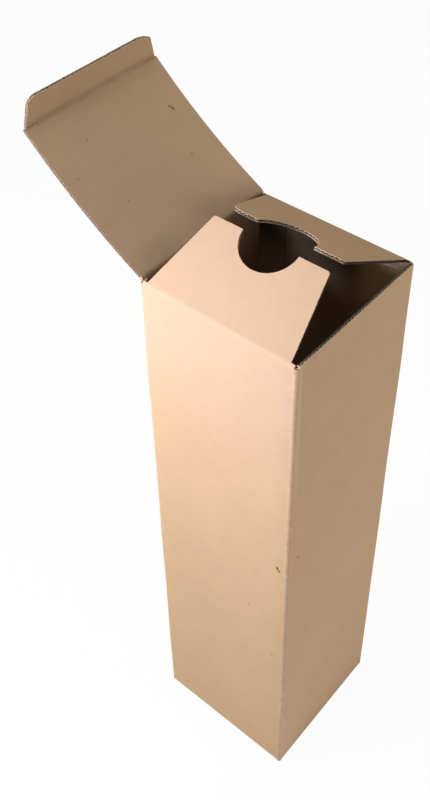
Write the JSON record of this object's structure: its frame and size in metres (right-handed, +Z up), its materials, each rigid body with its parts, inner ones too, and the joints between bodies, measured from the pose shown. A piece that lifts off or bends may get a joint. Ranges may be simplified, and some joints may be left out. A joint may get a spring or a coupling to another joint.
{
  "type": "bottle shipping box",
  "caption": "Tall square shipping box of brown fine-flute corrugated board for one bottle, standing open, with a tuck lid and two notched dust flaps.",
  "frame": {"origin": "centre of the underside, on the surface the box stands on", "axes": "+Z up along the tube, +Y towards the back wall that carries the lid, +X towards the wall with the right dust flap"},
  "size_m": [0.09, 0.159, 0.4156],
  "materials": {
    "kraft_board": "matt"
  },
  "bodies": {
    "box": {"box_body": "kraft_board"},
    "lid": {"lid_panel": "kraft_board"},
    "tuck": {"tuck_flap": "kraft_board"},
    "left_dust": {"left_dust_flap": "kraft_board"},
    "right_dust": {"right_dust_flap": "kraft_board"}
  },
  "joints": [
    {"name": "lid_crease", "type": "hinge", "parent": "box", "child": "lid", "pos_m": [0, 0.0442, 0.3492], "axis": [1, 0, 0], "range_deg": [-33, 143.35]},
    {"name": "tuck_crease", "type": "hinge", "parent": "lid", "child": "tuck", "pos_m": [0, 0.1132, 0.40054], "axis": [1, 0, 0], "range_deg": [-10, 42]},
    {"name": "left_dust_crease", "type": "hinge", "parent": "box", "child": "left_dust", "pos_m": [-0.0442, 0, 0.3474], "axis": [0, 1, 0], "range_deg": [-7, 28.5]},
    {"name": "right_dust_crease", "type": "hinge", "parent": "box", "child": "right_dust", "pos_m": [0.0442, 0, 0.3474], "axis": [0, -1, 0], "range_deg": [-7, 26.5]}
  ],
  "couplings": [
    {"joint": "tuck_crease", "follows": "lid_crease", "ratio": 0.2836},
    {"joint": "left_dust_crease", "follows": "lid_crease", "ratio": 0.1953},
    {"joint": "right_dust_crease", "follows": "lid_crease", "ratio": 0.1814}
  ]
}
